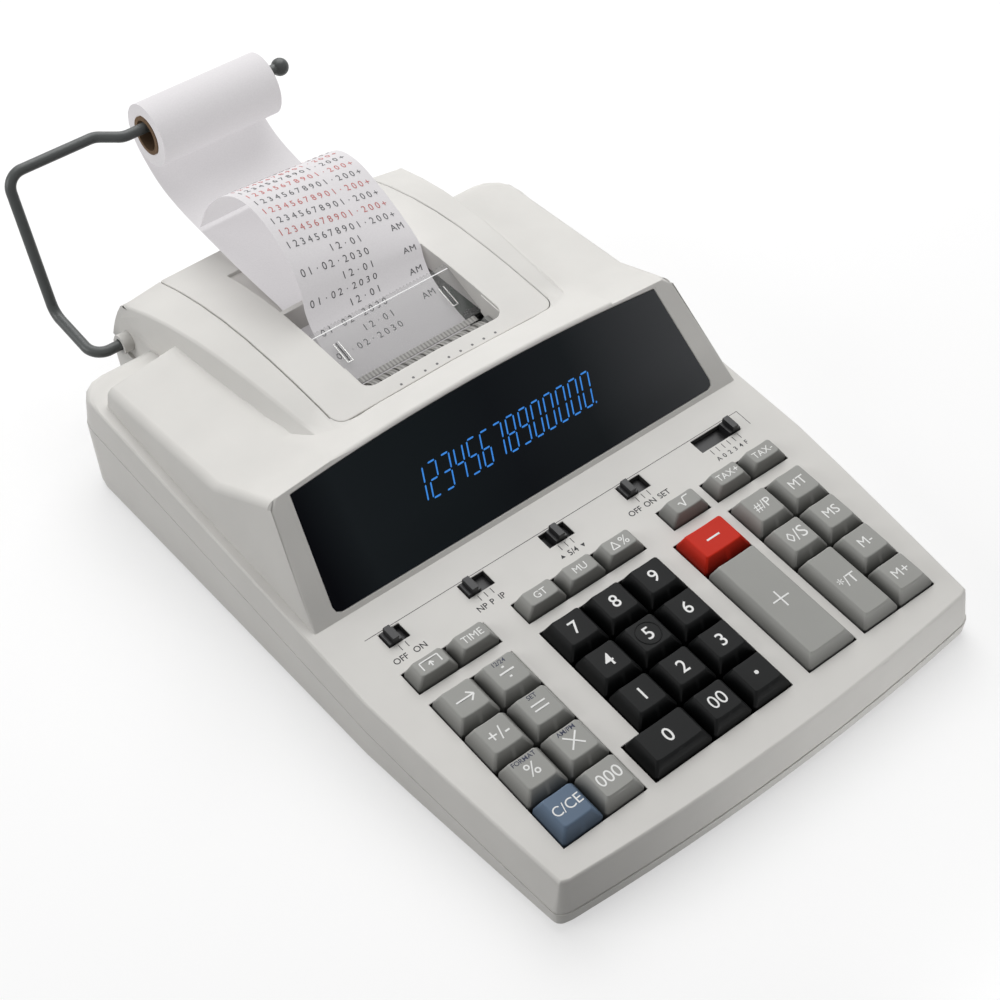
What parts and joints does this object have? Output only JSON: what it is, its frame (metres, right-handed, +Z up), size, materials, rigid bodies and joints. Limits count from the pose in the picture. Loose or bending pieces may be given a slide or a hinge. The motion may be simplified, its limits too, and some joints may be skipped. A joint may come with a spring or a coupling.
{
  "type": "printing calculator",
  "caption": "Desktop printing calculator with a sloping key deck, smoked display hump, slide switches, drum printer under a lift-off cover and a paper roll on a bent wire arm",
  "frame": {"origin": "centre of the overall footprint on the table", "axes": "X across the keyboard to the user's right, Y from the user to the back, Z up"},
  "size_m": [0.2156, 0.359, 0.1103],
  "materials": {
    "case": "fine textured moulded plastic",
    "window": "smoked, polished",
    "tube": "dark indicator glass",
    "clear": "clear",
    "arm_wire": "dark grey coated wire",
    "card": "grey brown card tube",
    "paper": "white uncoated paper",
    "printer_plastic": "dark moulded plastic",
    "rubber": "black rubber",
    "ink": "inked felt rubber",
    "brass": "turned",
    "board": "green laminate",
    "rubber_mat": "grey silicone",
    "switch_black": "black moulded",
    "key_black": "black, fine matt",
    "key_grey": "mid grey, fine matt",
    "key_blue": "slate blue, fine matt",
    "key_red": "red, fine matt"
  },
  "bodies": {
    "base": {"lower_case": "case", "upper_case": "case", "display_window": "window", "display_tube": "tube", "printer_frame": "printer_plastic", "circuit_board": "board", "key_mat": "rubber_mat", "feet": "rubber", "paper_web": "paper"},
    "cover": {"printer_cover": "case", "tear_bar": "clear"},
    "arm": {"paper_arm": "arm_wire"},
    "roll": {"roll_core": "card", "paper_roll": "paper"},
    "drum": {"type_drum": "printer_plastic"},
    "platen": {"platen": "rubber"},
    "pinion": {"motor_pinion": "brass"},
    "ink": {"ink_roller": "ink"},
    "key_feed": {"key_feed": "key_grey"},
    "key_time": {"key_time": "key_grey"},
    "key_grand_total": {"key_grand_total": "key_grey"},
    "key_markup": {"key_markup": "key_grey"},
    "key_change": {"key_change": "key_grey"},
    "key_root": {"key_root": "key_grey"},
    "key_tax_plus": {"key_tax_plus": "key_grey"},
    "key_tax_minus": {"key_tax_minus": "key_grey"},
    "key_back": {"key_back": "key_grey"},
    "key_divide": {"key_divide": "key_grey"},
    "key_sign": {"key_sign": "key_grey"},
    "key_equals": {"key_equals": "key_grey"},
    "key_percent": {"key_percent": "key_grey"},
    "key_multiply": {"key_multiply": "key_grey"},
    "key_clear": {"key_clear": "key_blue"},
    "key_000": {"key_000": "key_grey"},
    "key_7": {"key_7": "key_black"},
    "key_8": {"key_8": "key_black"},
    "key_9": {"key_9": "key_black"},
    "key_4": {"key_4": "key_black"},
    "key_5": {"key_5": "key_black"},
    "key_6": {"key_6": "key_black"},
    "key_1": {"key_1": "key_black"},
    "key_2": {"key_2": "key_black"},
    "key_3": {"key_3": "key_black"},
    "key_0": {"key_0": "key_black"},
    "key_00": {"key_00": "key_black"},
    "key_point": {"key_point": "key_black"},
    "key_minus": {"key_minus": "key_red"},
    "key_plus": {"key_plus": "key_grey"},
    "key_hash": {"key_hash": "key_grey"},
    "key_diamond": {"key_diamond": "key_grey"},
    "key_total": {"key_total": "key_grey"},
    "key_mt": {"key_mt": "key_grey"},
    "key_ms": {"key_ms": "key_grey"},
    "key_m_minus": {"key_m_minus": "key_grey"},
    "key_m_plus": {"key_m_plus": "key_grey"},
    "switch_power": {"switch_power": "switch_black"},
    "switch_mode": {"switch_mode": "switch_black"},
    "switch_rounding": {"switch_rounding": "switch_black"},
    "switch_total": {"switch_total": "switch_black"},
    "switch_decimal": {"switch_decimal": "switch_black"}
  },
  "joints": [
    {"name": "arm_swing", "type": "hinge", "parent": "base", "child": "arm", "pos_m": [0, 0.12485, 0.04], "axis": [1, 0, 0], "range_deg": [0, 22], "deforming": ["paper_web"]},
    {"name": "cover_slide", "type": "slide", "parent": "base", "child": "cover", "axis": [0, 1, 0], "range_m": [0, 0.003]},
    {"name": "roll_spin", "type": "hinge", "parent": "arm", "child": "roll", "pos_m": [0, 0.16615, 0.0969], "axis": [1, 0, 0], "continuous": true},
    {"name": "drum_spin", "type": "hinge", "parent": "base", "child": "drum", "pos_m": [0, 0.01828, 0.05573], "axis": [1, 0, 0], "continuous": true},
    {"name": "platen_spin", "type": "hinge", "parent": "base", "child": "platen", "pos_m": [0, 0.03335, 0.04703], "axis": [1, 0, 0], "continuous": true},
    {"name": "pinion_spin", "type": "hinge", "parent": "base", "child": "pinion", "pos_m": [0, 0.00905, 0.0465], "axis": [1, 0, 0], "continuous": true},
    {"name": "ink_spin", "type": "hinge", "parent": "base", "child": "ink", "pos_m": [0, 0.00453, 0.05452], "axis": [1, 0, 0], "continuous": true},
    {"name": "switch_power_slide", "type": "slide", "parent": "base", "child": "switch_power", "axis": [1, 0, 0], "range_m": [0, 0.0029]},
    {"name": "switch_mode_slide", "type": "slide", "parent": "base", "child": "switch_mode", "axis": [1, 0, 0], "range_m": [0, 0.0058]},
    {"name": "switch_rounding_slide", "type": "slide", "parent": "base", "child": "switch_rounding", "axis": [1, 0, 0], "range_m": [-0.0029, 0.0029]},
    {"name": "switch_total_slide", "type": "slide", "parent": "base", "child": "switch_total", "axis": [1, 0, 0], "range_m": [0, 0.0058]},
    {"name": "switch_decimal_slide", "type": "slide", "parent": "base", "child": "switch_decimal", "axis": [1, 0, 0], "range_m": [-0.0145, 0]},
    {"name": "key_feed_press", "type": "slide", "parent": "base", "child": "key_feed", "axis": [0, 0.0892, -0.996], "range_m": [0, 0.0025], "stiffness_N_per_m": 240, "springref_m": -0.002, "deforming": ["key_mat"]},
    {"name": "key_time_press", "type": "slide", "parent": "base", "child": "key_time", "axis": [0, 0.0892, -0.996], "range_m": [0, 0.0025], "stiffness_N_per_m": 240, "springref_m": -0.002, "deforming": ["key_mat"]},
    {"name": "key_grand_total_press", "type": "slide", "parent": "base", "child": "key_grand_total", "axis": [0, 0.0892, -0.996], "range_m": [0, 0.0025], "stiffness_N_per_m": 240, "springref_m": -0.002, "deforming": ["key_mat"]},
    {"name": "key_markup_press", "type": "slide", "parent": "base", "child": "key_markup", "axis": [0, 0.0892, -0.996], "range_m": [0, 0.0025], "stiffness_N_per_m": 240, "springref_m": -0.002, "deforming": ["key_mat"]},
    {"name": "key_change_press", "type": "slide", "parent": "base", "child": "key_change", "axis": [0, 0.0892, -0.996], "range_m": [0, 0.0025], "stiffness_N_per_m": 240, "springref_m": -0.002, "deforming": ["key_mat"]},
    {"name": "key_root_press", "type": "slide", "parent": "base", "child": "key_root", "axis": [0, 0.0892, -0.996], "range_m": [0, 0.0025], "stiffness_N_per_m": 240, "springref_m": -0.002, "deforming": ["key_mat"]},
    {"name": "key_tax_plus_press", "type": "slide", "parent": "base", "child": "key_tax_plus", "axis": [0, 0.0892, -0.996], "range_m": [0, 0.0025], "stiffness_N_per_m": 240, "springref_m": -0.002, "deforming": ["key_mat"]},
    {"name": "key_tax_minus_press", "type": "slide", "parent": "base", "child": "key_tax_minus", "axis": [0, 0.0892, -0.996], "range_m": [0, 0.0025], "stiffness_N_per_m": 240, "springref_m": -0.002, "deforming": ["key_mat"]},
    {"name": "key_back_press", "type": "slide", "parent": "base", "child": "key_back", "axis": [0, 0.0892, -0.996], "range_m": [0, 0.0025], "stiffness_N_per_m": 240, "springref_m": -0.002, "deforming": ["key_mat"]},
    {"name": "key_divide_press", "type": "slide", "parent": "base", "child": "key_divide", "axis": [0, 0.0892, -0.996], "range_m": [0, 0.0025], "stiffness_N_per_m": 240, "springref_m": -0.002, "deforming": ["key_mat"]},
    {"name": "key_sign_press", "type": "slide", "parent": "base", "child": "key_sign", "axis": [0, 0.0892, -0.996], "range_m": [0, 0.0025], "stiffness_N_per_m": 240, "springref_m": -0.002, "deforming": ["key_mat"]},
    {"name": "key_equals_press", "type": "slide", "parent": "base", "child": "key_equals", "axis": [0, 0.0892, -0.996], "range_m": [0, 0.0025], "stiffness_N_per_m": 240, "springref_m": -0.002, "deforming": ["key_mat"]},
    {"name": "key_percent_press", "type": "slide", "parent": "base", "child": "key_percent", "axis": [0, 0.0892, -0.996], "range_m": [0, 0.0025], "stiffness_N_per_m": 240, "springref_m": -0.002, "deforming": ["key_mat"]},
    {"name": "key_multiply_press", "type": "slide", "parent": "base", "child": "key_multiply", "axis": [0, 0.0892, -0.996], "range_m": [0, 0.0025], "stiffness_N_per_m": 240, "springref_m": -0.002, "deforming": ["key_mat"]},
    {"name": "key_clear_press", "type": "slide", "parent": "base", "child": "key_clear", "axis": [0, 0.0892, -0.996], "range_m": [0, 0.0025], "stiffness_N_per_m": 240, "springref_m": -0.002, "deforming": ["key_mat"]},
    {"name": "key_000_press", "type": "slide", "parent": "base", "child": "key_000", "axis": [0, 0.0892, -0.996], "range_m": [0, 0.0025], "stiffness_N_per_m": 240, "springref_m": -0.002, "deforming": ["key_mat"]},
    {"name": "key_7_press", "type": "slide", "parent": "base", "child": "key_7", "axis": [0, 0.0892, -0.996], "range_m": [0, 0.0025], "stiffness_N_per_m": 240, "springref_m": -0.002, "deforming": ["key_mat"]},
    {"name": "key_8_press", "type": "slide", "parent": "base", "child": "key_8", "axis": [0, 0.0892, -0.996], "range_m": [0, 0.0025], "stiffness_N_per_m": 240, "springref_m": -0.002, "deforming": ["key_mat"]},
    {"name": "key_9_press", "type": "slide", "parent": "base", "child": "key_9", "axis": [0, 0.0892, -0.996], "range_m": [0, 0.0025], "stiffness_N_per_m": 240, "springref_m": -0.002, "deforming": ["key_mat"]},
    {"name": "key_4_press", "type": "slide", "parent": "base", "child": "key_4", "axis": [0, 0.0892, -0.996], "range_m": [0, 0.0025], "stiffness_N_per_m": 240, "springref_m": -0.002, "deforming": ["key_mat"]},
    {"name": "key_5_press", "type": "slide", "parent": "base", "child": "key_5", "axis": [0, 0.0892, -0.996], "range_m": [0, 0.0025], "stiffness_N_per_m": 240, "springref_m": -0.002, "deforming": ["key_mat"]},
    {"name": "key_6_press", "type": "slide", "parent": "base", "child": "key_6", "axis": [0, 0.0892, -0.996], "range_m": [0, 0.0025], "stiffness_N_per_m": 240, "springref_m": -0.002, "deforming": ["key_mat"]},
    {"name": "key_1_press", "type": "slide", "parent": "base", "child": "key_1", "axis": [0, 0.0892, -0.996], "range_m": [0, 0.0025], "stiffness_N_per_m": 240, "springref_m": -0.002, "deforming": ["key_mat"]},
    {"name": "key_2_press", "type": "slide", "parent": "base", "child": "key_2", "axis": [0, 0.0892, -0.996], "range_m": [0, 0.0025], "stiffness_N_per_m": 240, "springref_m": -0.002, "deforming": ["key_mat"]},
    {"name": "key_3_press", "type": "slide", "parent": "base", "child": "key_3", "axis": [0, 0.0892, -0.996], "range_m": [0, 0.0025], "stiffness_N_per_m": 240, "springref_m": -0.002, "deforming": ["key_mat"]},
    {"name": "key_0_press", "type": "slide", "parent": "base", "child": "key_0", "axis": [0, 0.0892, -0.996], "range_m": [0, 0.0025], "stiffness_N_per_m": 240, "springref_m": -0.002, "deforming": ["key_mat"]},
    {"name": "key_00_press", "type": "slide", "parent": "base", "child": "key_00", "axis": [0, 0.0892, -0.996], "range_m": [0, 0.0025], "stiffness_N_per_m": 240, "springref_m": -0.002, "deforming": ["key_mat"]},
    {"name": "key_point_press", "type": "slide", "parent": "base", "child": "key_point", "axis": [0, 0.0892, -0.996], "range_m": [0, 0.0025], "stiffness_N_per_m": 240, "springref_m": -0.002, "deforming": ["key_mat"]},
    {"name": "key_minus_press", "type": "slide", "parent": "base", "child": "key_minus", "axis": [0, 0.0892, -0.996], "range_m": [0, 0.0025], "stiffness_N_per_m": 240, "springref_m": -0.002, "deforming": ["key_mat"]},
    {"name": "key_plus_press", "type": "slide", "parent": "base", "child": "key_plus", "axis": [0, 0.0892, -0.996], "range_m": [0, 0.0025], "stiffness_N_per_m": 240, "springref_m": -0.002, "deforming": ["key_mat"]},
    {"name": "key_hash_press", "type": "slide", "parent": "base", "child": "key_hash", "axis": [0, 0.0892, -0.996], "range_m": [0, 0.0025], "stiffness_N_per_m": 240, "springref_m": -0.002, "deforming": ["key_mat"]},
    {"name": "key_diamond_press", "type": "slide", "parent": "base", "child": "key_diamond", "axis": [0, 0.0892, -0.996], "range_m": [0, 0.0025], "stiffness_N_per_m": 240, "springref_m": -0.002, "deforming": ["key_mat"]},
    {"name": "key_total_press", "type": "slide", "parent": "base", "child": "key_total", "axis": [0, 0.0892, -0.996], "range_m": [0, 0.0025], "stiffness_N_per_m": 240, "springref_m": -0.002, "deforming": ["key_mat"]},
    {"name": "key_mt_press", "type": "slide", "parent": "base", "child": "key_mt", "axis": [0, 0.0892, -0.996], "range_m": [0, 0.0025], "stiffness_N_per_m": 240, "springref_m": -0.002, "deforming": ["key_mat"]},
    {"name": "key_ms_press", "type": "slide", "parent": "base", "child": "key_ms", "axis": [0, 0.0892, -0.996], "range_m": [0, 0.0025], "stiffness_N_per_m": 240, "springref_m": -0.002, "deforming": ["key_mat"]},
    {"name": "key_m_minus_press", "type": "slide", "parent": "base", "child": "key_m_minus", "axis": [0, 0.0892, -0.996], "range_m": [0, 0.0025], "stiffness_N_per_m": 240, "springref_m": -0.002, "deforming": ["key_mat"]},
    {"name": "key_m_plus_press", "type": "slide", "parent": "base", "child": "key_m_plus", "axis": [0, 0.0892, -0.996], "range_m": [0, 0.0025], "stiffness_N_per_m": 240, "springref_m": -0.002, "deforming": ["key_mat"]}
  ],
  "couplings": [
    {"joint": "platen_spin", "follows": "drum_spin", "ratio": -1},
    {"joint": "pinion_spin", "follows": "drum_spin", "ratio": -2},
    {"joint": "ink_spin", "follows": "drum_spin", "ratio": -1.7}
  ]
}
